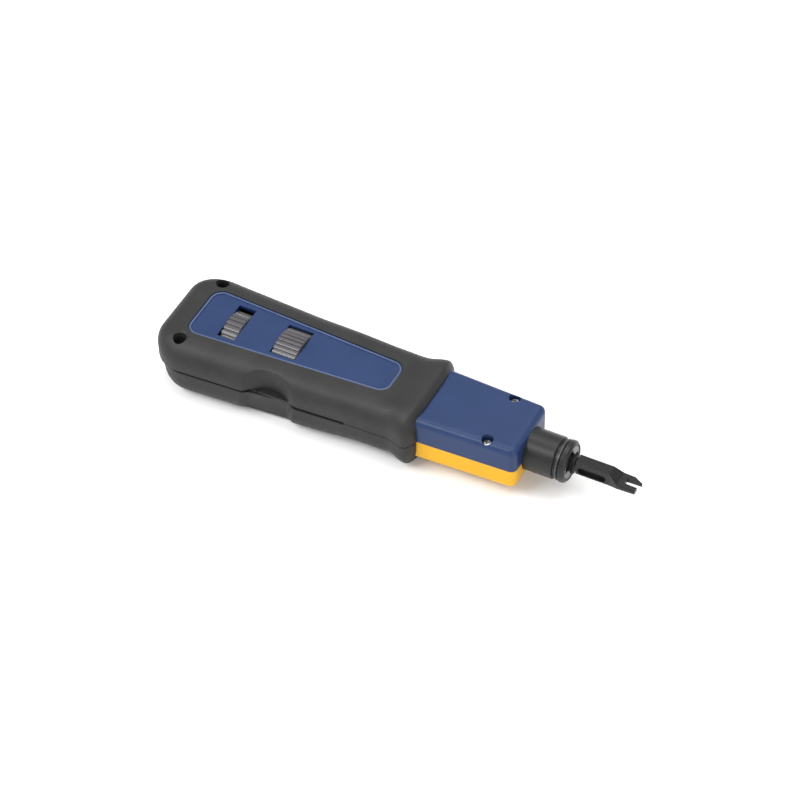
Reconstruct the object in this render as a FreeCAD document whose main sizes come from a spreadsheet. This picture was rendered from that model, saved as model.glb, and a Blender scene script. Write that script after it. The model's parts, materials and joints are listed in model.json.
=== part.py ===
import FreeCAD, Part
import math
import os

import Sketcher

# Impact punch down tool with an interchangeable blade.
# Modelling frame: X runs from the rear end of the handle to the blade tip, Y across, Z up,
# with X = 0 at the rear end and Y = Z = 0 on the axis of the nose. Every sub-part is then
# placed so that the row's origin is the middle of the object's footprint.

DIMENSIONS = {
    # overall
    "overall_length": 179.2,
    "axis_height": 13.4,
    # handle
    "handle_length": 102.2,
    "rear_half_width": 22.5,
    "side_taper": 0.058,
    "handle_top": 10.35,
    "parting": -0.6,
    "top_edge_radius": 8.0,
    "bottom_edge_radius": 8.5,
    "rear_corner_radius": 12.0,
    "grip_skin": 2.4,
    "lower_inset": 2.0,
    "lower_core_inset": 3.6,
    "core_top": 8.15,
    "core_bottom": -11.2,
    "core_chamfer": 4.0,
    "core_front": 99.0,
    "wall": 2.0,
    "cavity_top": 6.4,
    "cavity_bottom": -9.4,
    # finger guard
    "flare_start": 90.0,
    "flare_ridge": 99.2,
    "flare_half_width": 19.3,
    "flare_top": 12.3,
    "flare_radius": 7.0,
    "flare_set_in": 0.4,
    "flare_lip": 0.6,
    # thumb recess
    "scoop_place": 47.2,
    "scoop_across": -27.5,
    "scoop_radius": 12.0,
    "scoop_skin": 1.0,
    "ledge_rear": 38.2,
    "ledge_front": 55.8,
    "ledge_depth": 18.3,
    "ledge_slope": 3.1,
    "scoop_backing_rear": 35.0,
    "scoop_backing_front": 59.0,
    "scoop_backing_outer": 18.0,
    "scoop_backing_inner": 12.7,
    # inner walls
    "axle_wall_rear": 17.0,
    "axle_wall_front": 30.0,
    "axle_wall_thickness": 2.0,
    "rod_wall_rear": 36.5,
    "hammer_wall_rear": 78.5,
    "wall_thickness": 2.5,
    "narrow_reach": 10.0,
    "wide_reach": 14.0,
    "guide_reach": 13.0,
    "screw_post_radius": 3.9,
    "pin_post_radius": 2.8,
    "pin_bottom": -6.0,
    "pin_top": 5.0,
    "press_gap": 0.02,
    # front block
    "block_rear": 96.0,
    "block_front": 138.6,
    "block_half_width": 14.75,
    "block_front_half_width": 12.95,
    "block_half_height": 9.2,
    "block_radius": 2.6,
    "block_pocket_front": 115.0,
    "block_pocket_half_width": 11.8,
    "block_pocket_half_height": 7.4,
    # panel and its windows
    "panel_rear": 10.2,
    "panel_front": 87.3,
    "panel_rear_half_width": 11.9,
    "panel_front_half_width": 7.5,
    "panel_top": 10.05,
    "panel_radius": 4.5,
    "rim_width": 0.9,
    "rim_depth": 0.3,
    "lock_window_rear": 21.35,
    "lock_window_front": 28.1,
    "lock_window_half_width": 8.3,
    "dial_window_rear": 41.7,
    "dial_window_front": 51.5,
    "dial_window_half_width": 7.5,
    "window_lip": 0.9,
    "window_undercut": 1.5,
    "window_side_undercut": 0.5,
    # thumb wheels
    "wheel_side_gap": 0.25,
    "wheel_relief": 0.3,
    "lock_wheel_radius": 10.7,
    "dial_radius": 11.3,
    "rib_depth": 0.5,
    "rib_gap": 0.5,
    "dial_ribs": 38,
    "lock_ribs": 30,
    # screws
    "front_screw_place": 127.2,
    "front_screw_spread": 10.8,
    "front_well_radius": 2.1,
    "front_head_radius": 1.75,
    "front_head_top": 7.6,
    "rear_screw_place": 10.6,
    "rear_screw_spread": 15.4,
    "rear_well_radius": 2.4,
    "rear_head_radius": 2.1,
    "rear_head_top": 3.8,
    "screw_head_height": 1.4,
    "screw_shank_radius": 1.1,
    "screw_end": -8.0,
    "recess_width": 0.5,
    "recess_depth": 0.8,
    "recess_margin": 0.6,
    # fold-out tools
    "tool_slot_rear": 4.0,
    "tool_slot_front": 76.0,
    "tool_slot_inner": 11.9,
    "tool_slot_top": 0.0,
    "tool_slot_bottom": -1.2,
    "tool_thickness": 1.0,
    "hook_eye_radius": 3.35,
    "hook_bush_radius": 2.5,
    "spudger_pivot_x": 71.0,
    "spudger_pivot_y": -13.9,
    "spudger_pin_radius": 1.3,
    "spudger_eye_radius": 1.95,
    "hook_end": 42.0,
    "spudger_end": 42.4,
    "tool_edge": -17.8,
    # impact mechanism
    "running_gap": 0.06,
    "nose_travel": 9.0,
    "rod_radius": 3.0,
    "rod_tip_radius": 2.0,
    "hammer_rear": 76.0,
    "hammer_front": 91.0,
    "hammer_radius": 6.0,
    "latch_rear": 82.0,
    "latch_thickness": 3.0,
    "guide_wall_rear": 93.2,
    "guide_wall_thickness": 3.0,
    "seat_rear": 34.5,
    "seat_front": 55.5,
    "seat_radius": 5.6,
    "seat_flange": 2.5,
    "latch_gap": 0.05,
    "latch_half_width": 3.0,
    "latch_bottom": -5.0,
    "latch_top": 3.4,
    "latch_offset": -1.6,
    "tail_radius": 0.8,
    "tail_bottom": -7.2,
    "tail_slot_half_width": 1.3,
    "tail_slot_bottom": -9.0,
    "main_coil_radius": 4.4,
    "main_wire_radius": 0.55,
    "main_turns": 6.5,
    "return_coil_radius": 4.3,
    "return_wire_radius": 0.45,
    "return_turns": 5.5,
    # click springs
    "leaf_inset": 0.75,
    "leaf_thickness": 0.4,
    "leaf_half_height": 4.0,
    "dial_leaf_place": 12.1,
    "lock_leaf_place": 11.5,
    # nose
    "sleeve_radius": 7.64,
    "sleeve_front": 149.3,
    "stop_plate_thickness": 2.5,
    "stop_plate_half_width": 11.0,
    "stop_plate_half_height": 7.0,
    "plug_length": 7.0,
    "plug_end": 10.0,
    "plug_radius": 5.0,
    "spigot_radius": 7.0,
    "ring_rear": 150.4,
    "ring_front": 151.1,
    "ring_radius": 7.45,
    "collar_rear": 151.5,
    "nose_front": 154.0,
    "nose_chamfer": 1.0,
    "socket_radius": 6.0,
    "socket_rear": 136.0,
    "socket_inner_radius": 5.3,
    "mouth_reach": 5.1,
    "mouth_half_width": 1.15,
    "detent_place": 145.0,
    "detent_groove": 1.2,
    "ball_radius": 1.15,
    "ball_height": 4.1,
    "detent_ring_radius": 5.9,
    "detent_ring_inner": 5.35,
    "detent_ring_width": 1.0,
    # blade
    "blade_rear": 141.0,
    "shank_radius": 3.2,
    "shank_bevel": 0.5,
    "shank_groove_rear": 143.7,
    "shank_groove_front": 146.3,
    "shank_groove_radius": 2.7,
    "neck_rear": 154.5,
    "neck_radius": 2.3,
    "lug_rear": 149.2,
    "lug_length": 2.2,
    "lug_reach": 4.9,
    "lug_half_width": 1.0,
    "wing_rear": 154.4,
    "wing_front": 155.7,
    "eyelet_rear": 158.3,
    "eyelet_front": 165.8,
    "eyelet_middle": -0.3,
    "eyelet_radius": 1.4,
    "eyelet_floor": -0.9,
    "blade_body_rear": 156.15,
    "blade_body_front": 168.5,
    "blade_half_width": 2.2,
    "blade_top": 3.35,
    "blade_bottom": -2.6,
    "tongue_rear": 171.8,
    "tongue_half_width": 3.4,
    "tongue_top": 0.6,
    "tongue_bottom": -1.4,
    "fork_root": 173.8,
    "fork_half_gap": 1.2,
    "near_prong_end": 178.3,
    "far_prong_bevel": 175.4,
    "far_prong_tip": 1.4,
}

doc = FreeCAD.newDocument("PunchDownTool")
sheet = doc.addObject("Spreadsheet::Sheet", "Dimensions")
for row, (alias, number) in enumerate(DIMENSIONS.items(), start=1):
    sheet.set(f"A{row}", alias)
    sheet.set(f"B{row}", str(number))
    sheet.setAlias(f"B{row}", alias)
doc.recompute()


class Size:
    """A length with the sheet expression that it comes from."""

    def __init__(self, number, text):
        self.number = number
        self.text = text

    def __add__(self, other):
        other = as_size(other)
        return Size(self.number + other.number, f"({self.text} + {other.text})")

    def __sub__(self, other):
        other = as_size(other)
        return Size(self.number - other.number, f"({self.text} - {other.text})")

    def __mul__(self, other):
        other = as_size(other)
        return Size(self.number * other.number, f"({self.text} * {other.text})")

    def __truediv__(self, other):
        other = as_size(other)
        return Size(self.number / other.number, f"({self.text} / {other.text})")

    def __neg__(self):
        return Size(-self.number, f"(0 - {self.text})")

    def __radd__(self, other):
        return as_size(other) + self

    def __rsub__(self, other):
        return as_size(other) - self


def as_size(item):
    return item if isinstance(item, Size) else Size(item, f"({item})")


class Sizes:
    """The sheet's cells by name."""

    def __getattr__(self, alias):
        return Size(DIMENSIONS[alias], f"Dimensions.{alias}")


d = Sizes()
ORIGIN_X = -(d.overall_length / 2)
pieces = {}


def bind(item, prop, size):
    """Set a property to a size and keep it tied to the sheet."""
    item.setExpression(prop, as_size(size).text)


def finish(item, label):
    """Make an object a sub-part: its label names its node, its place is the row's frame."""
    if item.TypeId in ("Part::Box", "Part::Cylinder", "Part::Sphere"):
        item = group(item)
    item.Label = label
    bind(item, "Placement.Base.x", ORIGIN_X)
    bind(item, "Placement.Base.z", d.axis_height)
    pieces[label] = item
    return item


# ---------------------------------------------------------------- sketches and features


def origin_plane(body, role):
    return next(p for p in body.Origin.OriginFeatures if p.Role == role)


def new_body():
    return doc.addObject("PartDesign::Body", "Body")


def outline(body, role, points, offset=0):
    """A closed polygon on an origin plane, each corner held by its two coordinates."""
    sketch = body.newObject("Sketcher::SketchObject", "Outline")
    sketch.AttachmentSupport = (origin_plane(body, role), [""])
    sketch.MapMode = "FlatFace"
    bind(sketch, "AttachmentOffset.Base.z", offset)
    corners = [FreeCAD.Vector(as_size(u).number, as_size(v).number, 0) for u, v in points]
    for start, end in zip(corners, corners[1:] + corners[:1]):
        sketch.addGeometry(Part.LineSegment(start, end), False)
    count = len(corners)
    for i in range(count):
        sketch.addConstraint(Sketcher.Constraint("Coincident", i, 2, (i + 1) % count, 1))
    for i, (u, v) in enumerate(points):
        for kind, axis, item in (("DistanceX", -2, u), ("DistanceY", -1, v)):
            size = as_size(item)
            if size.number == 0:
                sketch.addConstraint(Sketcher.Constraint("PointOnObject", i, 1, axis))
                continue
            held = sketch.addConstraint(Sketcher.Constraint(kind, -1, 1, i, 1, size.number))
            if isinstance(item, Size):
                sketch.setExpression(f"Constraints[{held}]", size.text)
    return sketch


def circle(body, role, u, v, radius, offset=0):
    """A circle on an origin plane."""
    sketch = body.newObject("Sketcher::SketchObject", "Circle")
    sketch.AttachmentSupport = (origin_plane(body, role), [""])
    sketch.MapMode = "FlatFace"
    bind(sketch, "AttachmentOffset.Base.z", offset)
    centre = FreeCAD.Vector(as_size(u).number, as_size(v).number, 0)
    ring = Part.Circle(centre, FreeCAD.Vector(0, 0, 1), as_size(radius).number)
    sketch.addGeometry(ring, False)
    held = sketch.addConstraint(Sketcher.Constraint("Radius", 0, as_size(radius).number))
    sketch.setExpression(f"Constraints[{held}]", as_size(radius).text)
    for kind, axis, item in (("DistanceX", -2, u), ("DistanceY", -1, v)):
        size = as_size(item)
        if size.number == 0:
            sketch.addConstraint(Sketcher.Constraint("PointOnObject", 0, 3, axis))
            continue
        held = sketch.addConstraint(Sketcher.Constraint(kind, -1, 1, 0, 3, size.number))
        sketch.setExpression(f"Constraints[{held}]", size.text)
    return sketch


def pad(body, sketch, length):
    feature = body.newObject("PartDesign::Pad", "Pad")
    feature.Profile = sketch
    bind(feature, "Length", length)
    return feature


def pocket(body, sketch, length, both_ways=False):
    feature = body.newObject("PartDesign::Pocket", "Pocket")
    feature.Profile = sketch
    bind(feature, "Length", length)
    feature.Midplane = both_ways
    return feature


def prism(role, points, offset, length):
    """A body padded from a polygon, from an offset plane onwards."""
    body = new_body()
    pad(body, outline(body, role, points, offset), length)
    doc.recompute()
    return body


def turned(points):
    """A body of revolution about the tool's axis; points are (x, radius)."""
    body = new_body()
    sketch = outline(body, "XZ_Plane", points)
    feature = body.newObject("PartDesign::Revolution", "Turning")
    feature.Profile = sketch
    feature.ReferenceAxis = (sketch, ["H_Axis"])
    feature.Angle = 360
    doc.recompute()
    return body


def edge_names(item, wanted):
    """Names of the edges of a shape whose two end points pass a test."""
    names = []
    for number, edge in enumerate(item.Shape.Edges, start=1):
        ends = [vertex.Point for vertex in edge.Vertexes]
        if len(ends) == 2 and wanted(ends[0], ends[1]):
            names.append(f"Edge{number}")
    return names


def dress(body, kind, prop, size, wanted):
    """Round or bevel the chosen edges of a body."""
    doc.recompute()
    base = body.Tip
    feature = body.newObject(f"PartDesign::{kind}", kind)
    feature.Base = (base, edge_names(base, wanted))
    bind(feature, prop, size)
    doc.recompute()
    return feature


def near(a, b):
    return abs(a - b) < 1e-4


def vertical(a, b):
    return near(a.x, b.x) and near(a.y, b.y)


def block_of(x_low, x_high, y_low, y_high, z_low, z_high):
    """A box between two corners."""
    box = doc.addObject("Part::Box", "Box")
    low = (x_low, y_low, z_low)
    high = (x_high, y_high, z_high)
    for side, prop, a, b in zip("xyz", ("Length", "Width", "Height"), low, high):
        bind(box, prop, as_size(b) - a)
        bind(box, f"Placement.Base.{side}", a)
    return box


TO_X = FreeCAD.Rotation(FreeCAD.Vector(0, 1, 0), 90)


def rod(axis, radius, start, end, first=0, second=0):
    """A cylinder along X or Z. first and second are its place on the other two axes."""
    bar = doc.addObject("Part::Cylinder", "Rod")
    bind(bar, "Radius", radius)
    bind(bar, "Height", as_size(end) - start)
    base = {"X": (start, first, second), "Z": (first, second, start)}[axis]
    if axis == "X":
        bar.Placement = FreeCAD.Placement(FreeCAD.Vector(), TO_X)
    for side, place in zip("xyz", base):
        bind(bar, f"Placement.Base.{side}", place)
    return bar


def fuse(*shapes):
    joined = doc.addObject("Part::MultiFuse", "Fuse")
    joined.Shapes = list(shapes)
    joined.Refine = True
    return joined


def cut(base, *tools):
    tool = tools[0] if len(tools) == 1 else fuse(*tools)
    result = doc.addObject("Part::Cut", "Cut")
    result.Base = base
    result.Tool = tool
    result.Refine = True
    return result


def common(*shapes):
    """What the shapes share."""
    shared = doc.addObject("Part::MultiCommon", "Common")
    shared.Shapes = list(shapes)
    shared.Refine = True
    return shared


def group(*shapes):
    """Separate solids that share one node, such as identical screws."""
    compound = doc.addObject("Part::Compound", "Group")
    compound.Links = list(shapes)
    return compound


def coil(x_low, x_high, mean_radius, wire_radius, turns):
    """A compression spring along X: a round wire swept along a helix."""
    helix = doc.addObject("Part::Helix", "Helix")
    length = as_size(x_high) - x_low - wire_radius * 2
    bind(helix, "Pitch", length / turns)
    bind(helix, "Height", length)
    bind(helix, "Radius", mean_radius)
    wire = doc.addObject("Part::Circle", "Wire")
    bind(wire, "Radius", wire_radius)
    wire.Placement = FreeCAD.Placement(
        FreeCAD.Vector(), FreeCAD.Rotation(FreeCAD.Vector(1, 0, 0), 90)
    )
    bind(wire, "Placement.Base.x", mean_radius)
    sweep = doc.addObject("Part::Sweep", "Spring")
    sweep.Sections = [wire]
    sweep.Spine = (helix, ["Edge1"])
    sweep.Solid = True
    sweep.Frenet = True
    spring = doc.addObject("Part::Compound", "SpringAlongX")
    spring.Links = [sweep]
    sweep.Placement = FreeCAD.Placement(FreeCAD.Vector(), TO_X)
    bind(sweep, "Placement.Base.x", as_size(x_low) + wire_radius)
    return spring


# ------------------------------------------------------------------ handle envelopes


def half_width(x, inset=0):
    """Half the handle's width at a place along it."""
    return d.rear_half_width - d.side_taper * x - inset


def handle_half(upper):
    """Outside of one half of the handle: a tapered pad with big soft edges."""
    inset = 0 if upper else d.lower_inset
    level = d.parting if upper else -d.axis_height
    depth = d.handle_top - d.parting if upper else d.axis_height + d.parting
    rear = half_width(as_size(0))
    front = half_width(d.flare_ridge)
    rear_end = as_size(inset)
    plan = [(rear_end, -rear), (d.flare_ridge, -front), (d.flare_ridge, front), (rear_end, rear)]
    body = prism("XY_Plane", plan, level, depth)
    low_x = rear_end.number
    dress(body, "Fillet", "Radius", d.rear_corner_radius,
          lambda a, b: vertical(a, b) and near(a.x, low_x))
    outer_z = DIMENSIONS["handle_top"] if upper else -DIMENSIONS["axis_height"]
    front_x = DIMENSIONS["flare_ridge"]
    radius = d.top_edge_radius if upper else d.bottom_edge_radius
    dress(body, "Fillet", "Radius", radius,
          lambda a, b: near(a.z, outer_z) and near(b.z, outer_z)
          and not (near(a.x, front_x) and near(b.x, front_x)))
    return body


def tunnel(body, x, width, level, radius):
    """A section across the handle: flat at the parting, with two rounded outer corners."""
    sketch = body.newObject("Sketcher::SketchObject", "Tunnel")
    sketch.AttachmentSupport = (origin_plane(body, "YZ_Plane"), [""])
    sketch.MapMode = "FlatFace"
    bind(sketch, "AttachmentOffset.Base.z", x)
    w, low, high = as_size(width).number, d.parting.number, as_size(level).number
    r = as_size(radius).number
    side = math.copysign(1, high - low)
    shoulder = high - side * r

    def point(y, z):
        return FreeCAD.Vector(y, z, 0)

    def bend(sign):
        centre = point(sign * (w - r), shoulder)
        middle = centre + point(sign * r * math.sqrt(0.5), side * r * math.sqrt(0.5))
        return Part.Arc(point(sign * w, shoulder), middle, point(sign * (w - r), high))

    flat, right, right_bend, top, left_bend, left = range(6)
    for curve in (Part.LineSegment(point(-w, low), point(w, low)),
                  Part.LineSegment(point(w, low), point(w, shoulder)),
                  bend(1),
                  Part.LineSegment(point(w - r, high), point(-w + r, high)),
                  bend(-1),
                  Part.LineSegment(point(-w, shoulder), point(-w, low))):
        sketch.addGeometry(curve, False)

    def end_at(curve, place):
        for end in (1, 2):
            if (sketch.getPoint(curve, end) - place).Length < 1e-6:
                return end
        raise ValueError("no curve end at this place")

    def hold(kind, *items):
        return sketch.addConstraint(Sketcher.Constraint(kind, *items))

    hold("Coincident", flat, 2, right, 1)
    hold("Coincident", left, 2, flat, 1)
    for straight, bent, place in ((right, right_bend, point(w, shoulder)),
                                  (top, right_bend, point(w - r, high)),
                                  (top, left_bend, point(-w + r, high)),
                                  (left, left_bend, point(-w, shoulder))):
        hold("Tangent", straight, end_at(straight, place), bent, end_at(bent, place))
    for upright in (right, left):
        hold("Vertical", upright)
    hold("Horizontal", top)
    hold("Equal", right_bend, left_bend)
    hold("Symmetric", flat, 1, flat, 2, -2)
    for kind, items, size in (("DistanceX", (-1, 1, flat, 2), width),
                              ("DistanceY", (-1, 1, flat, 2), d.parting),
                              ("DistanceY", (-1, 1, top, 1), level),
                              ("Radius", (right_bend,), radius)):
        size = as_size(size)
        held = hold(kind, *items, size.number)
        sketch.setExpression(f"Constraints[{held}]", size.text)
    return sketch


def flare_half(upper):
    """The raised finger guard at the front of one half: it swells, then falls to the block."""
    side = 1 if upper else -1
    start_level = (d.handle_top if upper else d.axis_height) - d.flare_set_in
    ridge_level = d.flare_top if upper else -d.axis_height
    front_level = (d.block_half_height + d.flare_lip) * side
    stations = [
        (d.flare_start, half_width(d.flare_start, d.flare_set_in), start_level * side),
        (d.flare_ridge, d.flare_half_width, ridge_level),
        (d.handle_length, d.block_half_width + d.flare_lip, front_level),
    ]
    body = new_body()
    sections = [tunnel(body, x, width, level, d.flare_radius) for x, width, level in stations]
    loft = body.newObject("PartDesign::AdditiveLoft", "Flare")
    loft.Profile = sections[0]
    loft.Sections = sections[1:]
    loft.Ruled = True
    doc.recompute()
    return body


def core_half(upper):
    """Outside of one housing half inside the grip, all flat faces."""
    level = d.parting if upper else d.core_bottom
    depth = d.core_top - d.parting if upper else d.parting - d.core_bottom
    rear_x = d.grip_skin if upper else d.grip_skin + d.lower_core_inset
    side_x = rear_x + d.core_chamfer + 1
    rear = half_width(as_size(0), d.grip_skin)
    rear_in = rear - d.core_chamfer - 1
    front = half_width(d.core_front, d.grip_skin)
    plan = [
        (rear_x, -rear_in),
        (side_x, -(rear - d.side_taper * side_x)),
        (d.core_front, -front),
        (d.core_front, front),
        (side_x, rear - d.side_taper * side_x),
        (rear_x, rear_in),
    ]
    body = prism("XY_Plane", plan, level, depth)
    outer_z = DIMENSIONS["core_top"] if upper else DIMENSIONS["core_bottom"]
    front_x = DIMENSIONS["core_front"]
    dress(body, "Chamfer", "Size", d.core_chamfer,
          lambda a, b: near(a.z, outer_z) and near(b.z, outer_z)
          and not (near(a.x, front_x) and near(b.x, front_x)))
    return body


def block_half(upper):
    """Outside of one half of the front block, tapering to the nose, with rounded edges."""
    level = d.parting if upper else -d.block_half_height
    depth = d.block_half_height - d.parting if upper else d.parting + d.block_half_height
    rear = d.block_half_width
    front = d.block_front_half_width
    plan = [
        (d.block_rear, -rear),
        (d.block_front, -front),
        (d.block_front, front),
        (d.block_rear, rear),
    ]
    body = prism("XY_Plane", plan, level, depth)
    front_x = DIMENSIONS["block_front"]
    rear_x = DIMENSIONS["block_rear"]
    outer_z = DIMENSIONS["block_half_height"] * (1 if upper else -1)
    dress(body, "Fillet", "Radius", d.block_radius,
          lambda a, b: (vertical(a, b) and near(a.x, front_x))
          or (near(a.z, outer_z) and near(b.z, outer_z)
              and not (near(a.x, rear_x) and near(b.x, rear_x))))
    return body


def core_cavity(upper):
    """The space inside one housing half, a wall's thickness in from the core."""
    level = d.parting if upper else d.cavity_bottom
    depth = d.cavity_top - d.parting if upper else d.parting - d.cavity_bottom
    inset = d.grip_skin + d.wall
    rear_x = inset if upper else inset + d.lower_core_inset
    side_x = rear_x + d.core_chamfer + 1
    rear = half_width(as_size(0), inset)
    rear_in = rear - d.core_chamfer - 1
    front_x = d.core_front - 2
    front = half_width(front_x, inset)
    plan = [
        (rear_x, -rear_in),
        (side_x, -(rear - d.side_taper * side_x)),
        (front_x, -front),
        (front_x, front),
        (side_x, rear - d.side_taper * side_x),
        (rear_x, rear_in),
    ]
    body = prism("XY_Plane", plan, level, depth)
    outer_z = DIMENSIONS["cavity_top"] if upper else DIMENSIONS["cavity_bottom"]
    front_end = DIMENSIONS["core_front"] - 2
    dress(body, "Chamfer", "Size", d.core_chamfer - 0.8,
          lambda a, b: near(a.z, outer_z) and near(b.z, outer_z)
          and not (near(a.x, front_end) and near(b.x, front_end)))
    return body


def panel_slab(inset, bottom, top):
    """The tapered panel on the handle's top, with rounded corners."""
    rear = d.panel_rear + inset
    front = d.panel_front - inset
    plan = [
        (rear, -(d.panel_rear_half_width - inset)),
        (front, -(d.panel_front_half_width - inset)),
        (front, d.panel_front_half_width - inset),
        (rear, d.panel_rear_half_width - inset),
    ]
    body = prism("XY_Plane", plan, bottom, as_size(top) - bottom)
    dress(body, "Fillet", "Radius", d.panel_radius - inset, vertical)
    return body


def thumb_recess(upper, inwards=0):
    """The hollow in the near side, which bares the stored tools' edges: a deep upright scoop
    in the upper half and a flat ledge that leans inwards in the lower half."""
    if upper:
        return rod("Z", d.scoop_radius + inwards, -1.0, 20.0, d.scoop_place, d.scoop_across)
    edge = -d.ledge_depth + inwards
    outside = -d.rear_half_width - 4
    return prism("YZ_Plane",
                 [(outside, d.parting), (edge, d.parting), (edge + d.ledge_slope, -d.axis_height),
                  (outside, -d.axis_height)],
                 d.ledge_rear - inwards, d.ledge_front - d.ledge_rear + as_size(inwards) * 2)


# ------------------------------------------------------------------------ shared tools

lock_relief = rod("X", d.lock_wheel_radius + d.wheel_relief,
                  d.lock_window_rear, d.lock_window_front)
dial_relief = rod("X", d.dial_radius + d.wheel_relief, d.dial_window_rear, d.dial_window_front)
tool_slot = block_of(d.tool_slot_rear, d.tool_slot_front, -d.rear_half_width - 4,
                     -d.tool_slot_inner, d.tool_slot_bottom, d.tool_slot_top)
nose_bore = rod("X", d.sleeve_radius + d.running_gap,
                d.block_pocket_front - d.nose_travel - 1, d.block_front + 1)
block_pocket = block_of(d.core_front - 3, d.block_pocket_front, -d.block_pocket_half_width,
                        d.block_pocket_half_width, -d.block_pocket_half_height,
                        d.block_pocket_half_height)
SIDES = (-1, 1)


def screw_holes(kind, well_bottom):
    """Wells from above and clearance for the shanks of one pair of screws."""
    place = getattr(d, f"{kind}_screw_place")
    spread = getattr(d, f"{kind}_screw_spread")
    well = getattr(d, f"{kind}_well_radius")
    holes = []
    for side in SIDES:
        holes.append(rod("Z", well, well_bottom, 20.0, place, spread * side))
        holes.append(rod("Z", d.screw_shank_radius + d.press_gap, d.screw_end, well_bottom + 1,
                         place, spread * side))
    return holes


front_holes = screw_holes("front", d.front_head_top - d.screw_head_height)
rear_holes = screw_holes("rear", d.rear_head_top - d.screw_head_height)


# ------------------------------------------------------------------------ housing halves


OVERLAP = 0.3


def inner_levels(upper):
    """Where the inner walls of one half start and end: at the parting and in the skin."""
    if upper:
        return d.parting, d.cavity_top + OVERLAP
    return d.cavity_bottom - OVERLAP, d.parting


def cross_wall(x_low, thickness, upper, reach):
    """A wall across the inside of one half, which carries a bearing or a guide."""
    return block_of(x_low, x_low + thickness, -reach, reach, *inner_levels(upper))


def posts(upper):
    """Posts for the rear screws and for the second tool's pin."""
    levels = inner_levels(upper)
    made = [rod("Z", d.screw_post_radius, *levels, d.rear_screw_place,
                d.rear_screw_spread * side) for side in SIDES]
    made.append(rod("Z", d.pin_post_radius, *levels, d.spudger_pivot_x, d.spudger_pivot_y))
    return made


def inner_walls(upper):
    """Cross walls, and the thick side wall behind the thumb recess."""
    return [
        cross_wall(d.axle_wall_rear, d.axle_wall_thickness, upper, d.narrow_reach),
        cross_wall(d.axle_wall_front, d.axle_wall_thickness, upper, d.narrow_reach),
        cross_wall(d.rod_wall_rear, d.wall_thickness, upper, d.narrow_reach),
        cross_wall(d.hammer_wall_rear, d.wall_thickness, upper, d.wide_reach),
        cross_wall(d.guide_wall_rear, d.guide_wall_thickness, upper, d.guide_reach),
        block_of(d.scoop_backing_rear, d.scoop_backing_front, -d.scoop_backing_outer,
                 -d.scoop_backing_inner, *inner_levels(upper)),
    ]


def bearings():
    """Holes in the inner walls for the wheels' shafts, the hammer and the rod."""
    hammer_walls = (d.hammer_wall_rear - 1, d.hammer_wall_rear + d.wall_thickness + 1)
    return [
        rod("X", d.rod_tip_radius + d.press_gap, d.axle_wall_rear - 1,
            d.axle_wall_front + d.axle_wall_thickness + 1),
        rod("X", d.rod_radius + d.running_gap, d.rod_wall_rear - 1,
            d.rod_wall_rear + d.wall_thickness + 1),
        rod("X", d.hammer_radius + d.running_gap, *hammer_walls),
        rod("X", d.rod_radius + d.running_gap, d.guide_wall_rear - 1, d.core_front + 1),
        block_of(*hammer_walls, -d.tail_slot_half_width, d.tail_slot_half_width,
                 d.tail_slot_bottom, d.latch_bottom),
        rod("Z", d.spudger_pin_radius + d.press_gap, d.pin_bottom, d.pin_top,
            d.spudger_pivot_x, d.spudger_pivot_y),
    ]


def window(kind):
    """The opening in the panel over one thumb wheel, wider below the panel's lip."""
    half = getattr(d, f"{kind}_window_half_width")
    rear = getattr(d, f"{kind}_window_rear")
    front = getattr(d, f"{kind}_window_front")
    wide = half + d.window_undercut
    return fuse(block_of(rear, front, -half, half, d.cavity_top - 1, d.panel_top + 1),
                block_of(rear - d.window_side_undercut, front + d.window_side_undercut,
                         -wide, wide, d.cavity_top - 1, d.panel_top - d.rim_depth - d.window_lip))


def housing_half(upper):
    core = cut(core_half(upper), thumb_recess(upper, d.scoop_skin))
    block = block_half(upper)
    outside = [core, block]
    if upper:
        slab = panel_slab(0, d.cavity_top, d.panel_top)
        floor = panel_slab(d.rim_width, d.panel_top - d.rim_depth, d.panel_top + 1)
        outside.append(cut(slab, floor))
    hollow = cut(fuse(*outside), core_cavity(upper))
    ribs = common(fuse(*inner_walls(upper), *posts(upper)), core)
    ribbed = fuse(hollow, ribs)
    tools = [nose_bore, block_pocket, tool_slot, lock_relief, dial_relief]
    tools += bearings() + front_holes + rear_holes
    if upper:
        tools += [window("lock"), window("dial")]
    return finish(cut(ribbed, *tools), "upper_housing" if upper else "lower_housing"), core, block


upper_housing, upper_core, upper_block = housing_half(True)
lower_housing, lower_core, lower_block = housing_half(False)

# ------------------------------------------------------------------------------- grips


def grip_half(upper, core, block):
    outside = fuse(handle_half(upper), flare_half(upper))
    tools = [core, block, tool_slot, thumb_recess(upper), dial_relief]
    if upper:
        tools += [panel_slab(0, 0, d.handle_top + 1)]
        tools += [rod("Z", d.rear_well_radius, -1.0, d.handle_top + 1, d.rear_screw_place,
                      d.rear_screw_spread * side) for side in SIDES]
    return finish(cut(outside, *tools), "upper_grip" if upper else "lower_grip")


grip_half(True, upper_core, upper_block)
grip_half(False, lower_core, lower_block)

# ------------------------------------------------------------------------------ screws


def screw(place, spread, head_radius, head_top):
    """A pan-head screw with a cross recess."""
    under_head = head_top - d.screw_head_height
    head = rod("Z", head_radius, under_head, head_top, place, spread)
    shank = rod("Z", d.screw_shank_radius, d.screw_end, under_head, place, spread)
    half_slot = d.recess_width / 2
    reach = head_radius - d.recess_margin
    recess_bottom = head_top - d.recess_depth
    arms = [
        block_of(place - reach, place + reach, spread - half_slot, spread + half_slot,
                 recess_bottom, head_top + 1),
        block_of(place - half_slot, place + half_slot, spread - reach, spread + reach,
                 recess_bottom, head_top + 1),
    ]
    return cut(fuse(head, shank), *arms)


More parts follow.
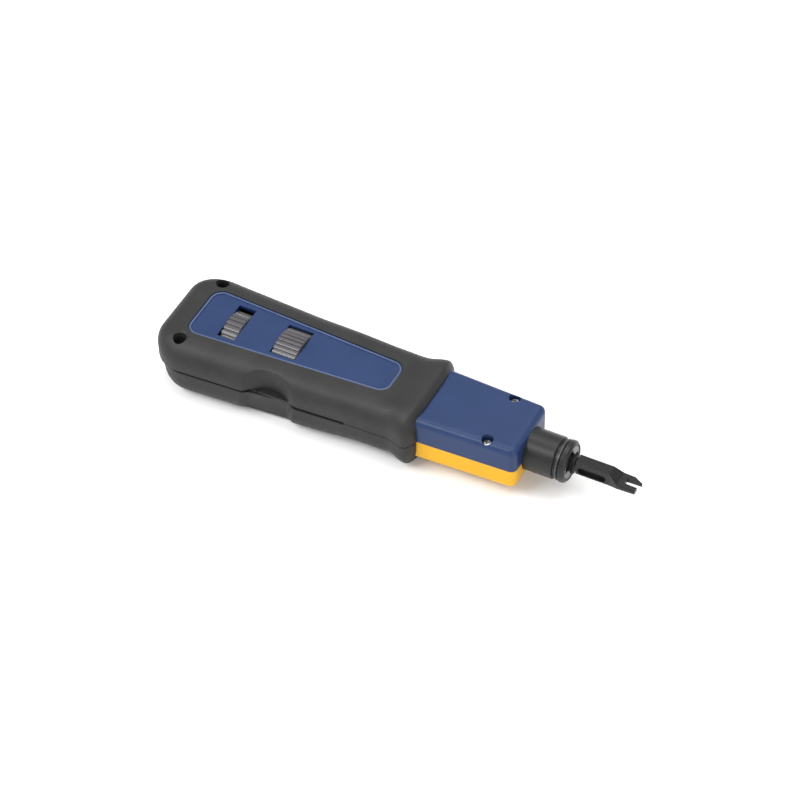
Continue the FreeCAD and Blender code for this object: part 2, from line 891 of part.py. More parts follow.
for kind in ("front", "rear"):
    finish(group(*[screw(getattr(d, f"{kind}_screw_place"),
                         getattr(d, f"{kind}_screw_spread") * side,
                         getattr(d, f"{kind}_head_radius"),
                         getattr(d, f"{kind}_head_top")) for side in SIDES]),
           f"{kind}_screws")

# ------------------------------------------------------------------------ thumb wheels


def ribbed_wheel(label, x_low, x_high, radius, bore, ribs):
    """A drum with grooves along its rim, turning on the tool's axis."""
    body = new_body()
    pad(body, circle(body, "YZ_Plane", 0, 0, radius, x_low), as_size(x_high) - x_low)
    doc.recompute()
    hole = circle(body, "YZ_Plane", 0, 0, bore, x_low)
    through = pocket(body, hole, as_size(x_high) - x_low + 1)
    through.Reversed = True
    doc.recompute()
    groove = outline(body, "YZ_Plane",
                     [(-d.rib_gap / 2, radius + 0.5), (d.rib_gap / 2, radius + 0.5),
                      (d.rib_gap / 2, radius - d.rib_depth), (-d.rib_gap / 2, radius - d.rib_depth)],
                     x_low)
    slot = pocket(body, groove, as_size(x_high) - x_low + 1)
    slot.Reversed = True
    doc.recompute()
    pattern = body.newObject("PartDesign::PolarPattern", "Ribs")
    pattern.Originals = [slot]
    pattern.Axis = (groove, ["N_Axis"])
    pattern.Angle = 360
    bind(pattern, "Occurrences", ribs)
    body.Tip = pattern
    doc.recompute()
    return finish(body, label)


ribbed_wheel("impact_dial", d.dial_window_rear + d.wheel_side_gap,
             d.dial_window_front - d.wheel_side_gap, d.dial_radius,
             d.rod_radius + d.running_gap, d.dial_ribs)
ribbed_wheel("lock_wheel", d.lock_window_rear + d.wheel_side_gap,
             d.lock_window_front - d.wheel_side_gap, d.lock_wheel_radius,
             d.rod_tip_radius + d.running_gap, d.lock_ribs)
finish(rod("X", d.rod_tip_radius, d.axle_wall_rear, d.axle_wall_front + d.axle_wall_thickness),
       "lock_wheel_axle")


def click_spring(kind):
    """A flat leaf that stands beside a wheel's ribs, over the width of its window."""
    x_low = getattr(d, f"{kind}_window_rear") + d.leaf_inset
    x_high = getattr(d, f"{kind}_window_front") - d.leaf_inset
    y_low = getattr(d, f"{kind}_leaf_place")
    y_high = y_low + d.leaf_thickness
    leaf = prism("XY_Plane", [(x_low, y_low), (x_high, y_low), (x_high, y_high), (x_low, y_high)],
                 -d.leaf_half_height, d.leaf_half_height * 2)
    return finish(leaf, f"{kind}_click_spring")


click_spring("dial")
click_spring("lock")

# --------------------------------------------------------------------- impact mechanism

finish(turned([
    (d.seat_rear, 0.0),
    (d.seat_rear, d.rod_radius),
    (d.seat_front - d.seat_flange, d.rod_radius),
    (d.seat_front - d.seat_flange, d.seat_radius),
    (d.seat_front, d.seat_radius),
    (d.seat_front, 0.0),
]), "spring_seat")

finish(coil(d.seat_front, d.hammer_rear, d.main_coil_radius, d.main_wire_radius, d.main_turns),
       "main_spring")


def hammer():
    """The sliding weight, bored for the rod's tip and slotted across for the latch."""
    weight = rod("X", d.hammer_radius, d.hammer_rear, d.hammer_front)
    bore = rod("X", d.rod_tip_radius + d.running_gap, d.hammer_rear - 1, d.hammer_front + 1)
    half = d.latch_half_width + d.latch_gap
    slot = block_of(d.latch_rear - d.latch_gap, d.latch_rear + d.latch_thickness + d.latch_gap,
                    -half, half, -d.hammer_radius - 1, d.hammer_radius + 1)
    return finish(cut(weight, bore, slot), "hammer")


def latch():
    """The plate in the hammer: its hole sits off the axis until it is tripped."""
    front = d.latch_rear + d.latch_thickness
    middle = d.latch_rear + d.latch_thickness / 2
    plate = block_of(d.latch_rear, front, -d.latch_half_width, d.latch_half_width,
                     d.latch_bottom, d.latch_top)
    tail = rod("Z", d.tail_radius, d.tail_bottom, d.latch_bottom + 0.5, middle, 0)
    hole = rod("X", d.rod_tip_radius + d.latch_gap * 2, d.latch_rear - 1, front + 1, 0,
               d.latch_offset)
    return finish(cut(fuse(plate, tail), hole), "trip_latch")


def latch_spring():
    """A small bowed leaf between the latch and the hammer's top."""
    middle = d.latch_rear + d.latch_thickness / 2
    half, bow, thickness = 1.2, 1.25, 0.3
    foot = d.latch_top + d.latch_gap
    leaf = prism("XZ_Plane",
                 [(middle - half, foot), (middle, foot + bow), (middle + half, foot),
                  (middle + half, foot + thickness), (middle, foot + bow + thickness),
                  (middle - half, foot + thickness)],
                 -1.0, 2.0)
    return finish(leaf, "latch_spring")


hammer()
latch()
latch_spring()

sleeve_back = d.block_pocket_front
finish(turned([
    (d.latch_rear + d.latch_thickness + 0.1, 0.0),
    (d.latch_rear + d.latch_thickness + 0.1, d.rod_tip_radius),
    (d.hammer_front + 0.2, d.rod_tip_radius),
    (d.hammer_front + 0.2, d.rod_radius),
    (sleeve_back + d.plug_length, d.rod_radius),
    (sleeve_back + d.plug_length, d.plug_radius),
    (sleeve_back + d.plug_end, d.plug_radius),
    (sleeve_back + d.plug_end, 0.0),
]), "plunger_rod")

finish(coil(d.guide_wall_rear + d.guide_wall_thickness, sleeve_back - d.stop_plate_thickness,
            d.return_coil_radius, d.return_wire_radius, d.return_turns), "return_spring")

finish(cut(block_of(sleeve_back - d.stop_plate_thickness, sleeve_back,
                    -d.stop_plate_half_width, d.stop_plate_half_width,
                    -d.stop_plate_half_height, d.stop_plate_half_height),
           rod("X", d.rod_radius, sleeve_back - d.stop_plate_thickness - 1, sleeve_back + 1)),
       "stop_plate")

# -------------------------------------------------------------------------------- nose

finish(turned([
    (sleeve_back, d.rod_radius),
    (sleeve_back, d.sleeve_radius),
    (d.sleeve_front, d.sleeve_radius),
    (d.sleeve_front, d.spigot_radius),
    (d.collar_rear, d.spigot_radius),
    (d.collar_rear, d.socket_radius),
    (sleeve_back + d.plug_length, d.socket_radius),
    (sleeve_back + d.plug_length, d.rod_radius),
]), "nose_sleeve")

finish(turned([
    (d.ring_rear, d.spigot_radius),
    (d.ring_rear, d.ring_radius),
    (d.ring_front, d.ring_radius),
    (d.ring_front, d.spigot_radius),
]), "retaining_ring")

finish(turned([
    (d.collar_rear, d.socket_radius),
    (d.collar_rear, d.sleeve_radius),
    (d.nose_front - d.nose_chamfer, d.sleeve_radius),
    (d.nose_front, d.sleeve_radius - d.nose_chamfer),
    (d.nose_front, d.socket_radius),
]), "nose_collar")


def detent_band(width, outer, inner):
    """A band round the axis at the detent's place."""
    low, high = d.detent_place - width / 2, d.detent_place + width / 2
    return cut(rod("X", outer, low, high), rod("X", inner, low - 1, high + 1))


def bayonet_socket():
    """The metal insert that holds the blade: a keyed mouth, and a hollow behind its lips."""
    insert = rod("X", d.socket_radius, d.socket_rear, d.nose_front - 0.2)
    bore = rod("X", d.shank_radius + d.running_gap, d.socket_rear + 4, d.nose_front + 1)
    hollow = rod("X", d.socket_inner_radius, d.nose_front - 6.2, d.nose_front - 2.2)
    reach, half = d.mouth_reach, d.mouth_half_width
    mouth = [
        block_of(d.nose_front - 3, d.nose_front + 1, -reach, reach, -half, half),
        block_of(d.nose_front - 3, d.nose_front + 1, -half, half, -reach, reach),
    ]
    groove = detent_band(d.detent_groove, d.socket_radius + 1, d.socket_inner_radius)
    ball_hole = rod("Z", d.ball_radius + d.running_gap, d.shank_radius - 0.2,
                    d.socket_radius + 1, d.detent_place, 0)
    return finish(cut(insert, bore, hollow, groove, ball_hole, *mouth), "bayonet_socket")


def detent():
    """A ball that clicks into the blade's shank, and the ring spring that presses on it."""
    ball = doc.addObject("Part::Sphere", "Ball")
    bind(ball, "Radius", d.ball_radius)
    bind(ball, "Placement.Base.x", d.detent_place)
    bind(ball, "Placement.Base.z", d.ball_height)
    finish(ball, "detent_ball")
    ring = detent_band(d.detent_ring_width, d.detent_ring_radius, d.detent_ring_inner)
    return finish(ring, "detent_ring")


bayonet_socket()
detent()

# ------------------------------------------------------------------------------- blade


def bevelled_section(body, x, width, low, high, bevel):
    """A rectangle across the blade with its four corners cut off."""
    return outline(body, "YZ_Plane", [
        (-width + bevel, low), (width - bevel, low), (width, low + bevel), (width, high - bevel),
        (width - bevel, high), (-width + bevel, high), (-width, high - bevel), (-width, low + bevel),
    ], x)


def blade():
    """An insert: grooved shank with lugs, neck, slotted body and forked tip."""
    neck_end = d.blade_body_rear + 0.2
    shank = turned([
        (d.blade_rear, 0.0),
        (d.blade_rear, d.shank_radius - d.shank_bevel),
        (d.blade_rear + d.shank_bevel, d.shank_radius),
        (d.shank_groove_rear, d.shank_radius),
        (d.shank_groove_rear, d.shank_groove_radius),
        (d.shank_groove_front, d.shank_groove_radius),
        (d.shank_groove_front, d.shank_radius),
        (d.neck_rear, d.shank_radius),
        (d.neck_rear, d.neck_radius),
        (neck_end, d.neck_radius),
        (neck_end, 0.0),
    ])
    lugs = doc.addObject("Part::Box", "Lugs")
    bind(lugs, "Length", d.lug_length)
    bind(lugs, "Width", d.lug_reach * 2)
    bind(lugs, "Height", d.lug_half_width * 2)
    turn = FreeCAD.Rotation(FreeCAD.Vector(1, 0, 0), 45)
    corner = turn.multVec(FreeCAD.Vector(0, -d.lug_reach.number, -d.lug_half_width.number))
    lugs.Placement = FreeCAD.Placement(corner, turn)
    bind(lugs, "Placement.Base.x", d.lug_rear)
    w = d.blade_half_width
    wings = block_of(d.wing_rear, d.wing_front, -w, w, d.blade_bottom, d.blade_top)
    flat = new_body()
    stations = [
        (d.blade_body_rear, w, d.blade_bottom, d.blade_top, 0.4),
        (d.blade_body_front, w, d.blade_bottom, d.blade_top, 0.4),
        (d.tongue_rear, d.tongue_half_width, d.tongue_bottom, d.tongue_top, 0.3),
        (d.overall_length, d.tongue_half_width, d.tongue_bottom + 0.3, d.tongue_top - 0.3, 0.3),
    ]
    sections = [bevelled_section(flat, *station) for station in stations]
    loft = flat.newObject("PartDesign::AdditiveLoft", "Body")
    loft.Profile = sections[0]
    loft.Sections = sections[1:]
    loft.Ruled = True
    eyelet = fuse(
        block_of(d.eyelet_rear, d.eyelet_front, d.eyelet_floor - 4, d.eyelet_floor,
                 d.eyelet_middle - d.eyelet_radius, d.eyelet_middle + d.eyelet_radius),
        eyelet_end(d.eyelet_rear),
        eyelet_end(d.eyelet_front),
    )
    beyond = d.overall_length + 1
    fork = block_of(d.fork_root, beyond, -d.fork_half_gap, d.fork_half_gap, -5.0, 5.0)
    near_end = block_of(d.near_prong_end, beyond, -5.0, 0.0, -5.0, 5.0)
    bevel = prism("XY_Plane",
                  [(d.overall_length + 0.1, d.far_prong_tip), (beyond, d.far_prong_tip),
                   (beyond, 5.0), (d.far_prong_bevel, 5.0),
                   (d.far_prong_bevel, d.tongue_half_width + 0.01)],
                  -5.0, 10.0)
    tip = cut(fuse(shank, lugs, wings, flat), eyelet, fork, near_end, bevel)
    return finish(tip, "blade")


def eyelet_end(x):
    """One rounded end of the slot in the near face of the blade's body."""
    bar = doc.addObject("Part::Cylinder", "EyeletEnd")
    bind(bar, "Radius", d.eyelet_radius)
    bar.Height = 4.0
    bar.Placement = FreeCAD.Placement(
        FreeCAD.Vector(), FreeCAD.Rotation(FreeCAD.Vector(1, 0, 0), 90)
    )
    bind(bar, "Placement.Base.x", x)
    bind(bar, "Placement.Base.y", d.eyelet_floor)
    bind(bar, "Placement.Base.z", d.eyelet_middle)
    return bar


blade()

# --------------------------------------------------------------------- fold-out tools


def flat_tool(points, eye_x, eye_y, eye_outer, eye_inner):
    """A steel strip with an eye at its pivot, lying in the slot between the halves."""
    middle = (d.tool_slot_top + d.tool_slot_bottom) / 2
    low = middle - d.tool_thickness / 2
    high = middle + d.tool_thickness / 2
    strip = prism("XY_Plane", points, low, d.tool_thickness)
    eye = rod("Z", eye_outer, low, high, eye_x, eye_y)
    return cut(fuse(strip, eye), rod("Z", eye_inner, low - 1, high + 1, eye_x, eye_y))


finish(cut(rod("Z", d.hook_bush_radius, d.tool_slot_bottom, d.tool_slot_top,
               d.rear_screw_place, -d.rear_screw_spread),
           rod("Z", d.screw_shank_radius, -3.0, 3.0, d.rear_screw_place, -d.rear_screw_spread)),
       "hook_pivot_bush")
hook_strip = [
    (d.rear_screw_place, -19.0),
    (30.0, -18.4),
    (d.hook_end, d.tool_edge),
    (d.hook_end, d.tool_edge + 0.9),
    (d.hook_end - 2.6, d.tool_edge + 0.9),
    (d.hook_end - 2.6, -15.4),
    (d.hook_end - 0.8, -14.6),
    (d.hook_end - 0.8, -13.9),
    (d.hook_end - 4.1, -13.9),
    (d.hook_end - 6.0, -16.2),
    (28.0, -14.6),
    (d.rear_screw_place, -13.2),
]
spudger_strip = [
    (d.spudger_pivot_x, -12.2),
    (56.0, -13.2),
    (d.spudger_end, -15.6),
    (d.spudger_end, d.tool_edge),
    (56.0, d.tool_edge),
    (d.spudger_pivot_x, -17.1),
]
finish(flat_tool(hook_strip,
                 d.rear_screw_place, -d.rear_screw_spread, d.hook_eye_radius,
                 d.hook_bush_radius + d.running_gap),
       "hook_tool")
finish(rod("Z", d.spudger_pin_radius, d.pin_bottom, d.pin_top, d.spudger_pivot_x,
           d.spudger_pivot_y), "spudger_pin")
finish(flat_tool(spudger_strip, d.spudger_pivot_x, d.spudger_pivot_y, d.spudger_eye_radius,
                 d.spudger_pin_radius + d.running_gap), "spudger_tool")

# ----------------------------------------------------------------------- check and write

doc.recompute()
failed = [item.Label for item in doc.Objects
          if "Invalid" in item.State or "Error" in item.State]
if failed:
    raise RuntimeError(f"features that failed: {failed}")
for label, item in pieces.items():
    if item.Shape.isNull() or not item.Shape.isValid():
        raise RuntimeError(f"{label} has no valid shape")

os.makedirs("parts", exist_ok=True)
for label, item in pieces.items():
    item.Shape.exportStep(f"parts/{label}.step")
    box = item.Shape.BoundBox
    print(f"{label:20s} solids {len(item.Shape.Solids)} volume {item.Shape.Volume:9.2f}"
          f" x {box.XMin:8.2f} {box.XMax:8.2f} y {box.YMin:7.2f} {box.YMax:7.2f}"
          f" z {box.ZMin:6.2f} {box.ZMax:6.2f}")
print(len(pieces), "sub-parts")
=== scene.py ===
import json
import math

import bmesh
import bpy
from mathutils import Matrix, Vector


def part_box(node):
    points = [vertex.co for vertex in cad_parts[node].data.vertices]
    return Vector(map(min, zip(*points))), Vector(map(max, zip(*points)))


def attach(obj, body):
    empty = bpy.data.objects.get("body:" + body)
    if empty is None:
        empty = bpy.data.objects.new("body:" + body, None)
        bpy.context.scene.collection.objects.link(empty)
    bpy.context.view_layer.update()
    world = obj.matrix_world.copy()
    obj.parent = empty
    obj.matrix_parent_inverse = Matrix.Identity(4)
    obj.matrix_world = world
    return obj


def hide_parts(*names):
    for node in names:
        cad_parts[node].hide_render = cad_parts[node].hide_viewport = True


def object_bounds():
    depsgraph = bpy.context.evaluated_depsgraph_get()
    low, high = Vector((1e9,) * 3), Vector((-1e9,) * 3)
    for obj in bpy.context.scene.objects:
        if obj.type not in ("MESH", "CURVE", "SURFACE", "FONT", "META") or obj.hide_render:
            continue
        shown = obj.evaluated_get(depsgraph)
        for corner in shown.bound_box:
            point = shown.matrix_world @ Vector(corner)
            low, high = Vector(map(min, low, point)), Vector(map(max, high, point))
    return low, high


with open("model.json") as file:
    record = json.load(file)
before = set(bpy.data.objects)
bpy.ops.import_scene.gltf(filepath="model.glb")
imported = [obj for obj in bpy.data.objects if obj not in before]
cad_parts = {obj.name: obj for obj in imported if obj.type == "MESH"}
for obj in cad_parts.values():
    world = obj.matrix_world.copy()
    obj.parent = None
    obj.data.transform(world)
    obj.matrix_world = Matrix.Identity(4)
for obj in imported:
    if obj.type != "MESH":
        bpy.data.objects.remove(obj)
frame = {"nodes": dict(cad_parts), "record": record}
cad_low, cad_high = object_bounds()
nodes = frame["nodes"]
NEAR, FAR = -1, 1

# Pieces are made in the tool frame: millimetres, X from the rear end of the handle to the
# blade's tip, Y across, Z up, with Y = Z = 0 on the axis of the nose.
MM = 0.001
nose_low, nose_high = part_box("nose_sleeve")
AXIS_Z = (nose_low.z + nose_high.z) / 2
REAR_X = cad_low.x


def at(x, y, z):
    return Vector((REAR_X + x * MM, y * MM, AXIS_Z + z * MM))


def from_box(node):
    """A node's box in the tool frame, in millimetres."""
    low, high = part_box(node)
    shift = Vector((REAR_X, 0, AXIS_Z))
    return (low - shift) / MM, (high - shift) / MM


def ease(a, b, x):
    """0 before a, 1 after b, smooth between."""
    u = min(1.0, max(0.0, (x - a) / (b - a)))
    return u * u * (3 - 2 * u)


def mix(a, b, t):
    return a + (b - a) * t


def soft_max(a, b, k):
    return (a + b + math.sqrt((a - b) ** 2 + k * k)) / 2


# ------------------------------------------------------------------------------- meshes


def link(name, bm, sharp_deg=32.0):
    """A mesh object from a bmesh, smooth-shaded with its sharp edges kept."""
    bmesh.ops.remove_doubles(bm, verts=bm.verts, dist=1e-7)
    bmesh.ops.recalc_face_normals(bm, faces=bm.faces)
    mesh = bpy.data.meshes.new(name)
    bm.to_mesh(mesh)
    bm.free()
    obj = bpy.data.objects.new(name, mesh)
    bpy.context.scene.collection.objects.link(obj)
    shade(obj, sharp_deg)
    return obj


def shade(obj, sharp_deg):
    bm = bmesh.new()
    bm.from_mesh(obj.data)
    limit = math.radians(sharp_deg)
    for edge in bm.edges:
        edge.smooth = len(edge.link_faces) == 2 and edge.calc_face_angle(0) < limit
    for face in bm.faces:
        face.smooth = True
    bm.to_mesh(obj.data)
    bm.free()


def loft(loops, caps=True):
    """A bmesh skin over closed loops of tool-frame points."""
    bm = bmesh.new()
    rings = [[bm.verts.new(at(*p)) for p in loop] for loop in loops]
    count = len(rings[0])
    for a, b in zip(rings, rings[1:]):
        for i in range(count):
            j = (i + 1) % count
            bm.faces.new((a[i], a[j], b[j], b[i]))
    if caps:
        bm.faces.new(rings[0])
        bm.faces.new(rings[-1][::-1])
    return bm


TURNED_SIDES, UPRIGHT_SIDES = 96, 48


def turned(profile):
    """A body of revolution about the tool's axis; the profile is a closed list of (x, radius)."""
    bm = bmesh.new()
    rings = []
    for s in range(TURNED_SIDES):
        a = 2 * math.pi * s / TURNED_SIDES
        rings.append([bm.verts.new(at(x, r * math.sin(a), r * math.cos(a))) for x, r in profile])
    count = len(profile)
    for s in range(TURNED_SIDES):
        a, b = rings[s], rings[(s + 1) % TURNED_SIDES]
        for i in range(count):
            j = (i + 1) % count
            if profile[i][1] == 0 and profile[j][1] == 0:
                continue
            bm.faces.new((a[i], a[j], b[j], b[i]))
    return bm


def upright(profile, x, y):
    """A body of revolution about an axis along Z; the profile is an open list of (radius, z)."""
    bm = bmesh.new()
    rings = []
    for s in range(UPRIGHT_SIDES):
        a = 2 * math.pi * s / UPRIGHT_SIDES
        rings.append([bm.verts.new(at(x + r * math.cos(a), y + r * math.sin(a), z))
                      for r, z in profile])
    for s in range(UPRIGHT_SIDES):
        a, b = rings[s], rings[(s + 1) % UPRIGHT_SIDES]
        for i in range(len(profile) - 1):
            bm.faces.new((a[i], b[i], b[i + 1], a[i + 1]))
    return bm


def carve(obj, cutters, sharp_deg=32.0):
    """Cut other meshes away for good, and drop the cutters."""
    for cutter in cutters:
        modifier = obj.modifiers.new("carve", "BOOLEAN")
        modifier.operation = "DIFFERENCE"
        modifier.solver = "EXACT"
        modifier.object = cutter
        bpy.context.view_layer.update()
        graph = bpy.context.evaluated_depsgraph_get()
        mesh = bpy.data.meshes.new_from_object(obj.evaluated_get(graph))
        obj.modifiers.clear()
        old = obj.data
        obj.data = mesh
        bpy.data.meshes.remove(old)
        bpy.data.objects.remove(cutter)
    shade(obj, sharp_deg)
    return obj


def prism(points, low, high):
    """A bmesh prism along Z from plan points (x, y)."""
    return loft([[(x, y, low) for x, y in points], [(x, y, high) for x, y in points]])


def rounded(points, radius, steps=6):
    """A plan outline with each corner rounded."""
    made = []
    count = len(points)
    for i in range(count):
        p = Vector(points[i])
        a = (Vector(points[i - 1]) - p).normalized()
        b = (Vector(points[(i + 1) % count]) - p).normalized()
        half = a.angle(b) / 2
        reach = radius / math.tan(half)
        centre = p + (a + b).normalized() * (radius / math.sin(half))
        start, end = p + a * reach - centre, p + b * reach - centre
        turn = math.pi - 2 * half
        sign = 1 if start.cross(end) > 0 else -1
        for k in range(steps + 1):
            angle = sign * turn * k / steps
            c, s = math.cos(angle), math.sin(angle)
            made.append((centre.x + start.x * c - start.y * s,
                         centre.y + start.x * s + start.y * c))
    return made


# ---------------------------------------------------------------------------- materials


def new_material(name):
    material = bpy.data.materials.new(name)
    material.use_nodes = True
    tree = material.node_tree
    return material, tree, tree.nodes["Principled BSDF"]


def noise(tree, scale, detail=3.0, roughness=0.55):
    """Noise over the piece's own place, in features per millimetre."""
    coordinates = tree.nodes.new("ShaderNodeTexCoord")
    made = tree.nodes.new("ShaderNodeTexNoise")
    made.inputs["Scale"].default_value = scale / MM
    made.inputs["Detail"].default_value = detail
    made.inputs["Roughness"].default_value = roughness
    tree.links.new(coordinates.outputs["Object"], made.inputs["Vector"])
    return made.outputs["Fac"]


# Where along a noise's range its two colours or greys are reached.
SLOW_SPREAD, FINE_SPREAD = (0.35, 0.65), (0.3, 0.7)


def ramp(tree, value, spread, first, second):
    """A value mapped onto two colours."""
    made = tree.nodes.new("ShaderNodeValToRGB")
    for element, position, colour in zip(made.color_ramp.elements, spread, (first, second)):
        element.position = position
        element.color = (*colour, 1)
    tree.links.new(value, made.inputs["Fac"])
    return made.outputs["Color"]


def grey(v):
    return (v, v, v)


def vary(tree, shader, scale, colours, rough, rough_scale):
    """Slow colour variation and finer roughness variation."""
    tree.links.new(ramp(tree, noise(tree, scale), SLOW_SPREAD, *colours),
                   shader.inputs["Base Color"])
    tree.links.new(ramp(tree, noise(tree, rough_scale), FINE_SPREAD, *map(grey, rough)),
                   shader.inputs["Roughness"])


def bumped(tree, shader, heights, distance):
    """Bump from one or more (output, strength) heights; distance in millimetres."""
    normal = None
    for height, strength in heights:
        made = tree.nodes.new("ShaderNodeBump")
        made.inputs["Strength"].default_value = strength
        made.inputs["Distance"].default_value = distance * MM
        tree.links.new(height, made.inputs["Height"])
        if normal is not None:
            tree.links.new(normal, made.inputs["Normal"])
        normal = made.outputs["Normal"]
    tree.links.new(normal, shader.inputs["Normal"])


def rubber():
    material, tree, shader = new_material("grip_rubber")
    vary(tree, shader, 0.08, ((0.014, 0.014, 0.014), (0.019, 0.019, 0.019)), (0.46, 0.58), 1.2)
    shader.inputs["Specular IOR Level"].default_value = 0.32
    bumped(tree, shader, [(noise(tree, 6.0, 2.0), 0.18), (noise(tree, 1.6, 3.0), 0.10)], 0.02)
    return material


def plastic(name, colours, rough, grain, bump, specular=0.3):
    material, tree, shader = new_material(name)
    vary(tree, shader, 0.06, colours, rough, 0.9)
    shader.inputs["Specular IOR Level"].default_value = specular
    bumped(tree, shader, [(noise(tree, grain, 2.0), bump)], 0.012)
    return material


def metal(name, colours, rough, bump=0.15, metallic=1.0):
    """A metal, or with a low metallic a hard dark finish, with an even fine grain."""
    material, tree, shader = new_material(name)
    shader.inputs["Metallic"].default_value = metallic
    shader.inputs["Specular IOR Level"].default_value = 0.3
    tree.links.new(ramp(tree, noise(tree, 1.0, 4.0, 0.6), FINE_SPREAD, *colours),
                   shader.inputs["Base Color"])
    tree.links.new(ramp(tree, noise(tree, 3.0, 3.0, 0.6), FINE_SPREAD, *map(grey, rough)),
                   shader.inputs["Roughness"])
    bumped(tree, shader, [(noise(tree, 5.0, 2.0, 0.5), bump)], 0.01)
    return material


MATERIALS = {
    "grip_rubber": rubber(),
    "blue_plastic": plastic("blue_plastic", ((0.010, 0.028, 0.090), (0.013, 0.032, 0.102)),
                            (0.30, 0.38), 5.0, 0.08),
    # The panel rim's finish: the blue plastic painted lighter, a painted highlight for the light
    # the raised rim catches.
    "blue_bead_painted_highlight": plastic("blue_bead_painted_highlight", ((0.045, 0.072, 0.155), (0.055, 0.083, 0.175)),
                         (0.24, 0.32), 5.0, 0.05, 0.5),
    "yellow_plastic": plastic("yellow_plastic", ((0.60, 0.315, 0.003), (0.66, 0.345, 0.004)),
                              (0.30, 0.38), 5.0, 0.06),
    "wheel_grey": plastic("wheel_grey", ((0.055, 0.052, 0.057), (0.070, 0.066, 0.072)),
                          (0.26, 0.34), 4.0, 0.10, 0.5),
    "bright_steel": metal("bright_steel", ((0.30, 0.30, 0.30), (0.42, 0.42, 0.42)), (0.16, 0.26)),
    "spring_steel": metal("spring_steel", ((0.30, 0.30, 0.31), (0.38, 0.38, 0.39)), (0.25, 0.38)),
    "nose_black": metal("nose_black", ((0.010, 0.010, 0.010), (0.016, 0.016, 0.016)), (0.30, 0.40),
                        bump=0.08, metallic=0.0),
    "nose_ring_steel": metal("nose_ring_steel", ((0.05, 0.05, 0.05), (0.08, 0.08, 0.08)),
                             (0.26, 0.36), metallic=0.5),
    "socket_steel": metal("socket_steel", ((0.10, 0.10, 0.10), (0.16, 0.16, 0.16)), (0.28, 0.40)),
    "blade_black": metal("blade_black", ((0.008, 0.008, 0.008), (0.014, 0.014, 0.014)),
                         (0.24, 0.36), bump=0.10, metallic=0.2),
    "tool_steel": metal("tool_steel", ((0.010, 0.010, 0.010), (0.018, 0.018, 0.018)),
                        (0.38, 0.50), metallic=0.0),
}

slot_of = {p["node"]: p["material_slot"] for p in frame["record"]["subparts"]}
for name, obj in nodes.items():
    obj.data.materials.clear()
    obj.data.materials.append(MATERIALS[slot_of[name]])


def soft_edges(name, width):
    """A small rounding on a CAD piece's sharp edges."""
    modifier = nodes[name].modifiers.new("soft_edges", "BEVEL")
    modifier.width = width * MM
    modifier.segments = 2
    modifier.limit_method = "ANGLE"
    modifier.angle_limit = math.radians(40.0)


TOOL_EDGE, SHELL_EDGE = 0.10, 0.15
for name, width in (("blade", TOOL_EDGE), ("hook_tool", TOOL_EDGE), ("spudger_tool", TOOL_EDGE),
                    ("upper_housing", SHELL_EDGE), ("lower_housing", SHELL_EDGE)):
    soft_edges(name, width)


def place(obj, name, body, slot, *stands_for):
    """Name a piece, give it its finish and its body, and hide what it stands for."""
    obj.name = name
    obj.data.materials.clear()
    obj.data.materials.append(MATERIALS[slot])
    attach(obj, body)
    if stands_for:
        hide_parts(*stands_for)
    return obj


# -------------------------------------------------------------------------------- grips

# The outline. A pair is the start and the end of a change along X.
TOP, BOTTOM = 10.35, -AXIS_Z / MM
CORNER = 12.0
RIDGE, FRONT = 99.2, 102.2
REAR_HALF_WIDTH, TAPER = 22.46, 0.058
WAIST, WAIST_FLARE = (76, 90), 0.4
GUARD, GUARD_FLARE = (91.5, RIDGE), 2.15
SIDE_FALL, TOP_FALL, BOTTOM_FALL, FALL_POWER = 3.65, 2.0, 3.0, 1.75
GUARD_TOP, GUARD_LIFT = (88, 98.4), 1.6
BELLY, BELLY_RISE = (60, 82), 1.1
GUARD_FOOT, FOOT_SHARE = (91.0, 98.6), 0.75
SIDE_ROUND, UPPER_REAR_ROUND, LOWER_REAR_ROUND = 8.7, 5.2, 9.6
SHARPER, SHARPER_FROM, SHARPER_TO = 1.4, (45, 70), (90, 98)
DRAFT, DRAFT_TOP = 0.05, 5.0
LOWER_REAR = 1.7

# The parting: a fine line, and the wider slot for the tools on the near side.
SLOT_REAR, SLOT_FRONT = 2.2, 76.0
SLOT_WIDENS = (36, 39)
UPPER_SLOT_EDGE, LOWER_SLOT_EDGE = (-0.22, 0.0), (-1.0, -1.2)
UPPER_PARTING, LOWER_PARTING = -0.50, -0.72
SLOT_LIP, PARTING_LIP, LIP_STEPS = 0.14, 0.26, 3

# The thumb recess: an upright hollow above the parting, a leaning flat below it.
SCOOP_X, SCOOP_Y, SCOOP_R = 47.2, -27.5, 12.0
SCOOP_BLEND, SCOOP_FADE, FADE_BLEND = 0.3, (51, 57), 0.9
LEDGE_TOP, LEDGE_LEAN = -1.2, 0.19
LEDGE_REAR, LEDGE_FRONT = (36.9, 39.6), (53.2, 57.6)
LEDGE_X, LEDGE_Y, LEDGE_TURN, LEDGE_SLOPE, LEDGE_BLEND = 39.1, -18.8, 0.1, 0.24, 0.5


def guard_fall(x):
    """0 up to the finger guard's ridge, then curving to 1 at its front."""
    return max(0.0, (x - RIDGE) / (FRONT - RIDGE)) ** FALL_POWER


def half_width(x):
    """Half the handle's width at the parting, flared at the front."""
    base = REAR_HALF_WIDTH - TAPER * min(x, RIDGE)
    flare = WAIST_FLARE * ease(*WAIST, x) + GUARD_FLARE * ease(*GUARD, x)
    return base + flare - SIDE_FALL * guard_fall(x)


def outer_level(x, upper):
    """The handle's top or bottom at a place along it."""
    if upper:
        return TOP + GUARD_LIFT * ease(*GUARD_TOP, x) - TOP_FALL * guard_fall(x)
    rise = BELLY_RISE * ease(*BELLY, x) * (1 - FOOT_SHARE * ease(*GUARD_FOOT, x))
    return BOTTOM + rise + BOTTOM_FALL * guard_fall(x)


